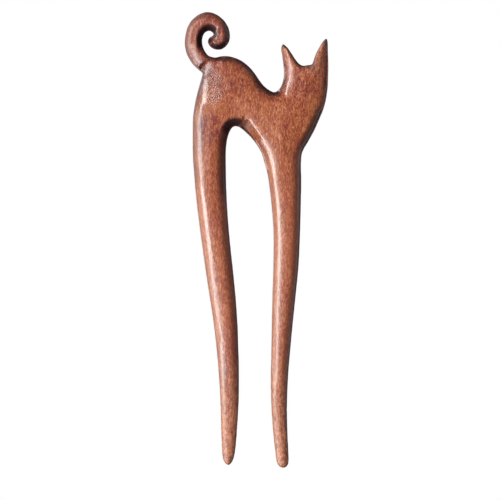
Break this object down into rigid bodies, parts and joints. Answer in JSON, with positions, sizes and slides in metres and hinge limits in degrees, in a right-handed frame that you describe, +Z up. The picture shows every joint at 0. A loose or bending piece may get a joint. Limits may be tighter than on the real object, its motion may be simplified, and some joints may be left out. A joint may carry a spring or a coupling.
{
  "type": "carved wooden hair fork in the shape of a cat",
  "caption": "Carved hardwood hair fork: an arched cat with a curled tail, whose hind leg and foreleg are the two long prongs that hold a bun of hair.",
  "frame": {"origin": "centre of the bounding box, at the level underside that the fork lies on", "axes": "+Y from the tips of the prongs to the cat's ears, +X the way the cat faces, +Z up out of the carved face that the picture shows"},
  "size_m": [0.052, 0.1649, 0.009],
  "materials": {
    "wood": "reddish-brown hardwood with fine dark pores, hand-polished to a soft gloss"
  },
  "bodies": {
    "root": {"fork": "wood"}
  },
  "joints": []
}
